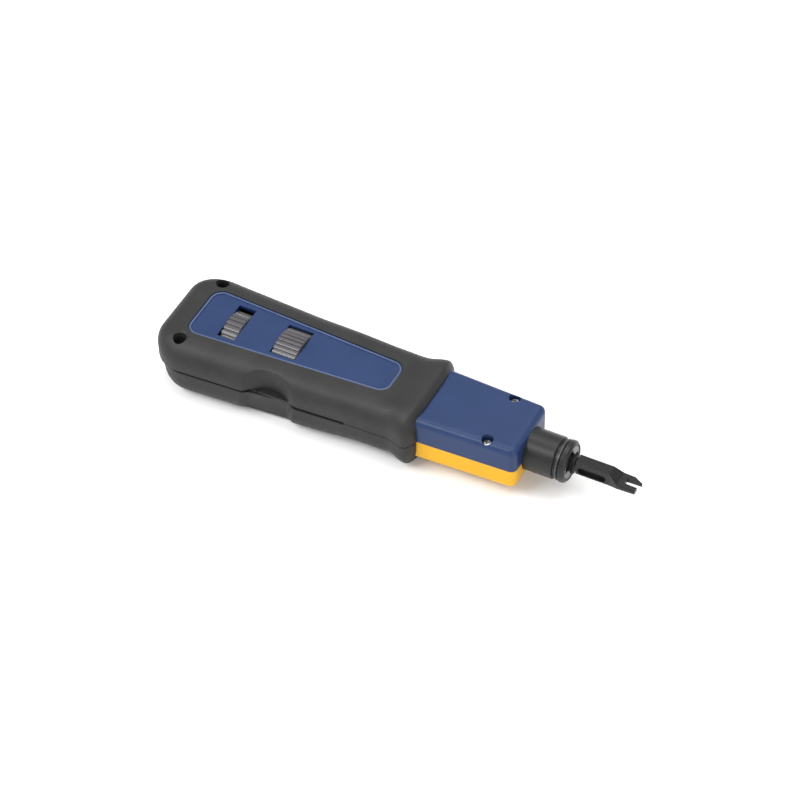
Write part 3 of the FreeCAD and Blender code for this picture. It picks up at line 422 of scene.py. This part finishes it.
def edge_radius(x, rearward, upper):
    """The rounding along the top or bottom edge; rearward is 1 on the rear end itself."""
    side = SIDE_ROUND
    if upper:
        side -= SHARPER * ease(*SHARPER_FROM, x) * (1 - ease(*SHARPER_TO, x))
    return mix(side, UPPER_REAR_ROUND if upper else LOWER_REAR_ROUND, rearward ** 2)


def rear_draft(x, z):
    """The rear end leans in below the upper half's shoulder."""
    return DRAFT * min(1.0, max(0.0, (CORNER - x) / CORNER)) * max(0.0, DRAFT_TOP - z)


def in_slot(x, side):
    return side == NEAR and SLOT_REAR < x < SLOT_FRONT


def parting_level(x, side, upper):
    """Where one half ends: at a fine line, or at the slot that holds the tools."""
    if in_slot(x, side):
        return mix(*(UPPER_SLOT_EDGE if upper else LOWER_SLOT_EDGE), ease(*SLOT_WIDENS, x))
    return UPPER_PARTING if upper else LOWER_PARTING


def scooped(x, y, z, upper):
    """The near side's y once the thumb recess is hollowed out of it."""
    if upper:
        inside = SCOOP_R ** 2 - (x - SCOOP_X) ** 2
        if inside <= 0:
            return y
        floor = SCOOP_Y + math.sqrt(inside)
        return soft_max(y, floor, SCOOP_BLEND + FADE_BLEND * ease(*SCOOP_FADE, x))
    below = LEDGE_TOP - z
    lean = x + LEDGE_LEAN * below
    here = ease(*LEDGE_REAR, lean) * (1 - ease(*LEDGE_FRONT, lean))
    floor = LEDGE_Y + LEDGE_TURN * (x - LEDGE_X) + LEDGE_SLOPE * below
    return mix(y, soft_max(y, floor, LEDGE_BLEND), here)


def spaced(start, end, step):
    """Even places from start up to, not including, end."""
    count = max(1, round(abs(end - start) / step))
    return [start + (end - start) * k / count for k in range(count)]


FINE, MEDIUM, COARSE = 0.35, 1.0, 1.2
GUARD_MESH_REAR, SCOOP_MESH_FRONT, SCOOP_MESH_REAR = 88.0, 60.0, 34.0
SLOT_END_GAP = 0.02
CORNER_STEPS, REAR_STEPS = 16, 8


def handle_stations(upper):
    """Round the plan outline from the near front to the far front, each with the way inwards."""
    rear = 0.0 if upper else LOWER_REAR
    along = (spaced(FRONT, GUARD_MESH_REAR, FINE)
             + spaced(GUARD_MESH_REAR, SLOT_FRONT + SLOT_END_GAP, MEDIUM)
             + [SLOT_FRONT + SLOT_END_GAP]
             + spaced(SLOT_FRONT - SLOT_END_GAP, SCOOP_MESH_FRONT, MEDIUM)
             + spaced(SCOOP_MESH_FRONT, SCOOP_MESH_REAR, FINE)
             + spaced(SCOOP_MESH_REAR, CORNER + rear, COARSE))
    centre_x, centre_y = CORNER + rear, half_width(CORNER + rear) - CORNER
    stations = [(x, -half_width(x), 0.0, 1.0, x, NEAR) for x in along]
    for k in range(CORNER_STEPS + 1):
        a = math.pi / 2 * k / CORNER_STEPS
        dx, dy = -math.sin(a), -math.cos(a)
        stations.append((centre_x + CORNER * dx, -centre_y + CORNER * dy, -dx, -dy, centre_x,
                         NEAR))
    near_side = list(stations)
    for k in range(1, REAR_STEPS):
        stations.append((rear, mix(-centre_y, centre_y, k / REAR_STEPS), 1.0, 0.0, centre_x,
                         NEAR if k < REAR_STEPS / 2 else FAR))
    return stations + [(x, -y, nx, -ny, spine_x, FAR)
                       for x, y, nx, ny, spine_x, side in near_side[::-1]]


WALL_ROWS, ARC_ROWS, FLAT_ROWS = 9, 20, 6


def grip_half(upper):
    """One rubber half, as a closed solid before it is hollowed for the housing."""
    sign = 1 if upper else -1
    bm = bmesh.new()
    columns = []
    for x, y, nx, ny, spine_x, side in handle_stations(upper):
        level = outer_level(x, upper)
        r = edge_radius(x, nx, upper)
        start = parting_level(x, side, upper)
        shoulder = level - sign * r
        lip = SLOT_LIP if in_slot(x, side) else PARTING_LIP
        column = []

        def add(offset, z):
            px, py = x + nx * offset, y + ny * offset
            if side == NEAR:
                py = scooped(px, py, z, upper)
            column.append((px + rear_draft(px, z), py, z))

        for step in range(LIP_STEPS + 1):
            a = math.pi / 2 * step / LIP_STEPS
            add(lip * (1 - math.sin(a)), start + sign * lip * (1 - math.cos(a)))
        for k in range(1, WALL_ROWS + 1):
            add(0.0, mix(start + sign * lip, shoulder, k / WALL_ROWS))
        for k in range(1, ARC_ROWS + 1):
            a = math.pi / 2 * k / ARC_ROWS
            add(r * (1 - math.cos(a)), shoulder + sign * r * math.sin(a))
        inner = column[-1]
        for k in range(1, FLAT_ROWS + 1):
            t = k / FLAT_ROWS
            column.append((mix(inner[0], spine_x, t), mix(inner[1], 0.0, t), level))
        columns.append([bm.verts.new(at(*p)) for p in column])
    for a, b in zip(columns, columns[1:]):
        for i in range(len(a) - 1):
            bm.faces.new((a[i], a[i + 1], b[i + 1], b[i]))

    # The face on the parting, from the near side across to the far side, then the front face.
    count = len(columns)
    for i in range(count // 2):
        corners = list(dict.fromkeys((columns[i][0], columns[i + 1][0],
                                      columns[count - 2 - i][0], columns[count - 1 - i][0])))
        if len(corners) > 2:
            bm.faces.new(corners)
    bm.faces.new(columns[0] + columns[-1][::-1][1:])
    return link("grip", bm)


# The rooms inside the grip, each a little larger than what it holds.
CORE_FRONT, CORE_HALF_WIDTH, CORE_CHAMFER, CORE_PAST_PARTING = 99.1, 20.15, 4.0, 1.5
UPPER_CORE_REAR, LOWER_CORE_REAR, CORE_SHOULDER = 2.35, 5.95, 5.05
UPPER_CORE_LEVEL, LOWER_CORE_LEVEL = 8.2, -11.25
CORE_END_INSET, CORE_END_STEP, CORE_END_CHAMFER, CORE_SCOOP_WALL = 5, 4, 0.5, 1.05
BLOCK_X, BLOCK_HALF_WIDTH, BLOCK_TAPER, BLOCK_HALF_HEIGHT, BLOCK_ROUND = 96, 14.75, 0.0423, 9.2, 2.6
BLOCK_GAP, PANEL_GAP = 0.12, 0.14
PANEL_REAR, PANEL_FRONT, PANEL_REAR_HALF, PANEL_FRONT_HALF = 10.2, 87.3, 11.9, 7.5
PANEL_ROUND = 4.5
WELL_X, WELL_Y, WELL_RADIUS, WELL_TOP = 10.6, 15.4, 2.4, 9.6


def core_cutter(upper):
    """The room for the housing inside one grip half, stepped in behind the thumb recess."""
    sign = 1 if upper else -1
    rear = UPPER_CORE_REAR if upper else LOWER_CORE_REAR
    far_level = UPPER_CORE_LEVEL if upper else LOWER_CORE_LEVEL
    low = -sign * CORE_PAST_PARTING
    xs = ([rear, rear + CORE_SHOULDER] + spaced(rear + CORE_SHOULDER, SCOOP_MESH_REAR, 8.0)[1:]
          + spaced(SCOOP_MESH_REAR, SCOOP_MESH_FRONT, MEDIUM)
          + [SCOOP_MESH_FRONT, 80.0, CORE_FRONT])
    loops = []
    for x in xs:
        w = near_w = CORE_HALF_WIDTH - TAPER * x
        level, chamfer = far_level, CORE_CHAMFER
        inside = (SCOOP_R + CORE_SCOOP_WALL) ** 2 - (x - SCOOP_X) ** 2
        if upper and inside > 0:
            near_w = min(w, -(SCOOP_Y + math.sqrt(inside)))
        if x == rear:
            w = near_w = w - CORE_END_INSET
            level, chamfer = far_level - sign * CORE_END_STEP, CORE_END_CHAMFER
        side_z = level - sign * chamfer
        loops.append([(x, -near_w, low), (x, -near_w, side_z),
                      (x, -min(near_w, w - chamfer), level), (x, w - chamfer, level),
                      (x, w, side_z), (x, w, low)])
    return link("cutter", loft(loops))


def block_cutter():
    """The room for the front block in the finger guard."""
    def ring(x):
        w = BLOCK_HALF_WIDTH - BLOCK_TAPER * (x - BLOCK_X) + BLOCK_GAP
        h = BLOCK_HALF_HEIGHT + BLOCK_GAP
        corners = [(-w, -h), (w, -h), (w, h), (-w, h)]
        return [(x, y, z) for y, z in rounded(corners, BLOCK_ROUND + BLOCK_GAP)]
    return link("cutter", loft([ring(95.0), ring(110.0)]))


def panel_outline(grow, steps):
    """The blue panel's plan outline, grown outwards on every side."""
    rear, front = PANEL_REAR - grow, PANEL_FRONT + grow
    rear_half, front_half = PANEL_REAR_HALF + grow, PANEL_FRONT_HALF + grow
    return rounded([(rear, -rear_half), (front, -front_half), (front, front_half),
                    (rear, rear_half)], PANEL_ROUND + grow, steps)


def panel_cutter():
    return link("cutter", prism(panel_outline(PANEL_GAP, 10), 4.0, 20.0))


def well_cutter(side):
    """A screw well whose mouth is rounded over."""
    mouth_width, mouth_depth, steps = 0.45, 0.5, 6
    profile = [(0.0, 0.0), (WELL_RADIUS, 0.0), (WELL_RADIUS, WELL_TOP)]
    for k in range(1, steps + 1):
        a = math.pi / 2 * k / steps
        profile.append((WELL_RADIUS + mouth_width * (1 - math.cos(a)),
                        WELL_TOP + mouth_depth * math.sin(a)))
    profile += [(3.2, 10.4), (3.2, 14.0), (0.0, 14.0)]
    return link("cutter", upright(profile, WELL_X, WELL_Y * side))


def well_liner(side):
    """The rubber that lines a screw well down to the screw's head."""
    outer, inner, foot, rim = 2.39, 2.2, 3.9, 8.6
    return link("liner", upright([(outer, foot), (outer, rim), (inner, rim), (inner, foot),
                                  (outer, foot)], WELL_X, WELL_Y * side))


def joined(name, items):
    """Several mesh objects as one."""
    bm = bmesh.new()
    for item in items:
        bm.from_mesh(item.data)
        bpy.data.objects.remove(item)
    return link(name, bm)


def ledge_wedge():
    """What the lower core room leaves standing behind the recess's ledge."""
    section = ((-17.25, 3.0), (-17.25, -0.6), (-14.2, -13.0), (-26.0, -13.0), (-26.0, 3.0))
    return link("cutter", loft([[(x, y, z) for y, z in section] for x in (37.2, 56.8)]))


def make_grips():
    upper = grip_half(True)
    carve(upper, [core_cutter(True), block_cutter(), panel_cutter(), well_cutter(NEAR),
                  well_cutter(FAR)])
    upper = joined("grip", [upper, well_liner(NEAR), well_liner(FAR)])
    place(upper, "upper_grip_skin", "handle", "grip_rubber", "upper_grip")
    lower = grip_half(False)
    carve(lower, [carve(core_cutter(False), [ledge_wedge()]), block_cutter()])
    place(lower, "lower_grip_skin", "handle", "grip_rubber", "lower_grip")


make_grips()

# ------------------------------------------------------------------------- thumb wheels


RIB_DEPTH, DRUM_BEVEL, HUB_DROP, DRUM_SHARP = 0.55, 0.22, 1.3, 28.0
# One rib: the share of its pitch, and how far into the groove the rim is there.
RIB = ((0.0, 1.0), (0.20, 1.0), (0.28, 0.2), (0.36, 0.0), (0.60, 0.0), (0.80, 0.12), (0.92, 0.3))


def ribbed_drum(node_name, ribs, bore):
    """A drum with sawtooth ribs along its rim and a bevel at each end."""
    low, high = from_box(node_name)
    radius = high.z
    loops = []
    for x, drop in ((low.x, HUB_DROP), (low.x, DRUM_BEVEL), (low.x + DRUM_BEVEL, 0.0),
                    (high.x - DRUM_BEVEL, 0.0), (high.x, DRUM_BEVEL), (high.x, HUB_DROP)):
        loop = []
        for rib in range(ribs):
            for share, cut in RIB:
                a = 2 * math.pi * (rib + share) / ribs
                groove = 0.0 if drop == HUB_DROP else RIB_DEPTH * cut
                r = radius - groove - drop
                loop.append((x, -r * math.sin(a), r * math.cos(a)))
        loops.append(loop)
    drum = link("drum", loft(loops), DRUM_SHARP)
    bore_cutter = link("cutter", turned([(low.x - 1, 0.0), (low.x - 1, bore), (high.x + 1, bore),
                                         (high.x + 1, 0.0)]))
    carve(drum, [bore_cutter], DRUM_SHARP)
    place(drum, node_name + "_drum", node_name, "wheel_grey", node_name)


ribbed_drum("impact_dial", 38, 3.06)
ribbed_drum("lock_wheel", 30, 2.06)

# ---------------------------------------------------------------------------- panel rim


def panel_rim():
    """The raised bead round the panel, rounded on top."""
    foot, shoulder, rise, middle, half, steps = 9.0, 9.85, 0.27, 0.45, 0.47, 8
    section = [(middle - half, foot), (middle - half, shoulder)]
    for k in range(1, steps):
        a = math.pi * k / steps
        section.append((middle - half * math.cos(a), shoulder + rise * math.sin(a)))
    section += [(middle + half, shoulder), (middle + half, 9.7)]
    bm = loft([[(x, y, z) for x, y in panel_outline(-inset, 12)] for inset, z in section],
              caps=False)
    bead = place(link("rim", bm), "panel_rim", "handle", "blue_plastic")
    # The bead is the same blue plastic, coloured lighter here as a painted highlight on the raised
    # rim.
    bead.data.materials[0] = MATERIALS["blue_bead_painted_highlight"]


panel_rim()

# ------------------------------------------------------------------------------- screws


HEAD_HEIGHT, SHANK_RADIUS, SHANK_END, SHANK_CHAMFER = 1.4, 1.1, -8.0, 0.1
CROSS_REACH, CROSS_SLOT, CROSS_DEPTH = 0.62, 0.26, 0.75
CROSS_FOOT, CROSS_MOUTH, CROSS_ABOVE = 0.45, 1.1, 0.2


def cross_cutters(x, y, top, reach):
    """A tapered cross, the print of a cross-head driver, as two bars."""
    def bar(half_x, half_y):
        def ring(z, scale):
            a, b = half_x * scale, half_y * scale
            return [(x - a, y - b, z), (x + a, y - b, z), (x + a, y + b, z), (x - a, y + b, z)]
        return link("cutter", loft([ring(top - CROSS_DEPTH, CROSS_FOOT),
                                    ring(top + CROSS_ABOVE, CROSS_MOUTH)]))
    return [bar(reach, CROSS_SLOT), bar(CROSS_SLOT, reach)]


def pan_screw(x, y, radius, top):
    """One domed head with a cross recess, on its shank."""
    under, rim, steps = top - HEAD_HEIGHT, 0.35 * HEAD_HEIGHT, 7
    profile = [(0.0, SHANK_END), (SHANK_RADIUS - SHANK_CHAMFER, SHANK_END),
               (SHANK_RADIUS, SHANK_END + SHANK_CHAMFER), (SHANK_RADIUS, under),
               (radius, under), (radius, top - rim)]
    for k in range(1, steps):
        a = math.pi / 2 * k / steps
        profile.append((radius * (1 - 0.42 * (1 - math.cos(a))) - 0.58 * radius * (k / steps) ** 6,
                        top - rim + rim * math.sin(a)))
    profile.append((0.0, top))
    return carve(link("screw", upright(profile, x, y)),
                 cross_cutters(x, y, top, radius * CROSS_REACH))


def screw_pair(node_name, x, spread, radius, top):
    pair = [pan_screw(x, spread * side, radius, top) for side in (NEAR, FAR)]
    name = node_name.removesuffix("screws") + "screw_heads"
    place(joined("screws", pair), name, "handle", "bright_steel", node_name)


screw_pair("front_screws", 127.2, 10.8, 1.75, 7.6)
screw_pair("rear_screws", WELL_X, WELL_Y, 2.1, 3.8)

# --------------------------------------------------------------------------------- nose


ROD_BORE, SOCKET_BORE, GROOVE_RADIUS = 3.05, 6.02, 6.75
BORE_REAR, GROOVE_REAR, COLLAR_REAR = 122.0, 149.3, 151.55


def make_nose():
    """The sliding sleeve, its ring and collar, turned with small bevels."""
    sleeve = turned([(115.0, ROD_BORE), (115.0, 7.4), (115.25, 7.64), (149.05, 7.64),
                     (GROOVE_REAR, 7.4), (GROOVE_REAR, GROOVE_RADIUS),
                     (COLLAR_REAR, GROOVE_RADIUS), (COLLAR_REAR, SOCKET_BORE),
                     (BORE_REAR, SOCKET_BORE), (BORE_REAR, ROD_BORE)])
    ring = turned([(150.4, 6.8), (150.4, 7.3), (150.5, 7.42), (151.0, 7.42), (151.1, 7.3),
                   (151.1, 6.8)])
    collar = turned([(COLLAR_REAR, SOCKET_BORE), (COLLAR_REAR, 7.45), (151.75, 7.62),
                     (152.95, 7.62), (153.35, 7.42), (153.95, 6.75), (154.0, 6.6), (154.0, 6.3),
                     (153.7, 6.15), (153.3, SOCKET_BORE)])
    for bm, node_name, slot in ((sleeve, "nose_sleeve", "nose_black"),
                                (ring, "retaining_ring", "nose_ring_steel"),
                                (collar, "nose_collar", "nose_black")):
        place(link("turned", bm), node_name + "_turned", "nose", slot, node_name)


make_nose()

# --------------------------------------------------------------------- camera and light

floor_bm = bmesh.new()
bmesh.ops.create_grid(floor_bm, x_segments=8, y_segments=8, size=3.0)
floor = link("floor", floor_bm)
floor_material, floor_tree, floor_shader = new_material("floor")
floor_shader.inputs["Roughness"].default_value = 0.9
floor_tree.links.new(ramp(floor_tree, noise(floor_tree, 0.01), FINE_SPREAD, grey(0.88),
                          grey(0.92)), floor_shader.inputs["Base Color"])
floor.data.materials.append(floor_material)

CAMERA_PLACE = (0.32907, -0.64353, 0.75447)
CAMERA_RIGHT = (0.8922, 0.4517, -0.0051)
CAMERA_UP = (-0.3200, 0.6400, 0.6986)
CAMERA_BACK = (0.3188, -0.6217, 0.7155)

camera = bpy.data.objects.new("camera", bpy.data.cameras.new("camera"))
bpy.context.scene.collection.objects.link(camera)
turn = Matrix((CAMERA_RIGHT, CAMERA_UP, CAMERA_BACK)).transposed()
camera.matrix_world = Matrix.Translation(CAMERA_PLACE) @ turn.to_4x4()
camera.data.lens = 135.0
camera.data.sensor_width = 36.0
camera.data.clip_start, camera.data.clip_end = 0.01, 20.0
bpy.context.scene.camera = camera


def area_light(name, where, size, power):
    """A soft rectangular light aimed at the origin."""
    light = bpy.data.lights.new(name, "AREA")
    light.shape = "RECTANGLE"
    light.size, light.size_y = size
    light.energy = power
    obj = bpy.data.objects.new(name, light)
    bpy.context.scene.collection.objects.link(obj)
    obj.location = where
    obj.rotation_mode = "QUATERNION"
    obj.rotation_quaternion = (-Vector(where)).to_track_quat("-Z", "Y")


area_light("key", (-0.55, -0.55, 0.9), (0.7, 0.5), 9.0)
area_light("top", (0.1, 0.25, 1.1), (1.0, 0.8), 7.0)
area_light("fill", (0.9, -0.6, 0.5), (0.6, 0.6), 3.0)

world = bpy.data.worlds.new("world")
bpy.context.scene.world = world
world.use_nodes = True
world.node_tree.nodes["Background"].inputs["Color"].default_value = (1, 1, 1, 1)
world.node_tree.nodes["Background"].inputs["Strength"].default_value = 0.85
bpy.context.scene.view_settings.view_transform = "Standard"
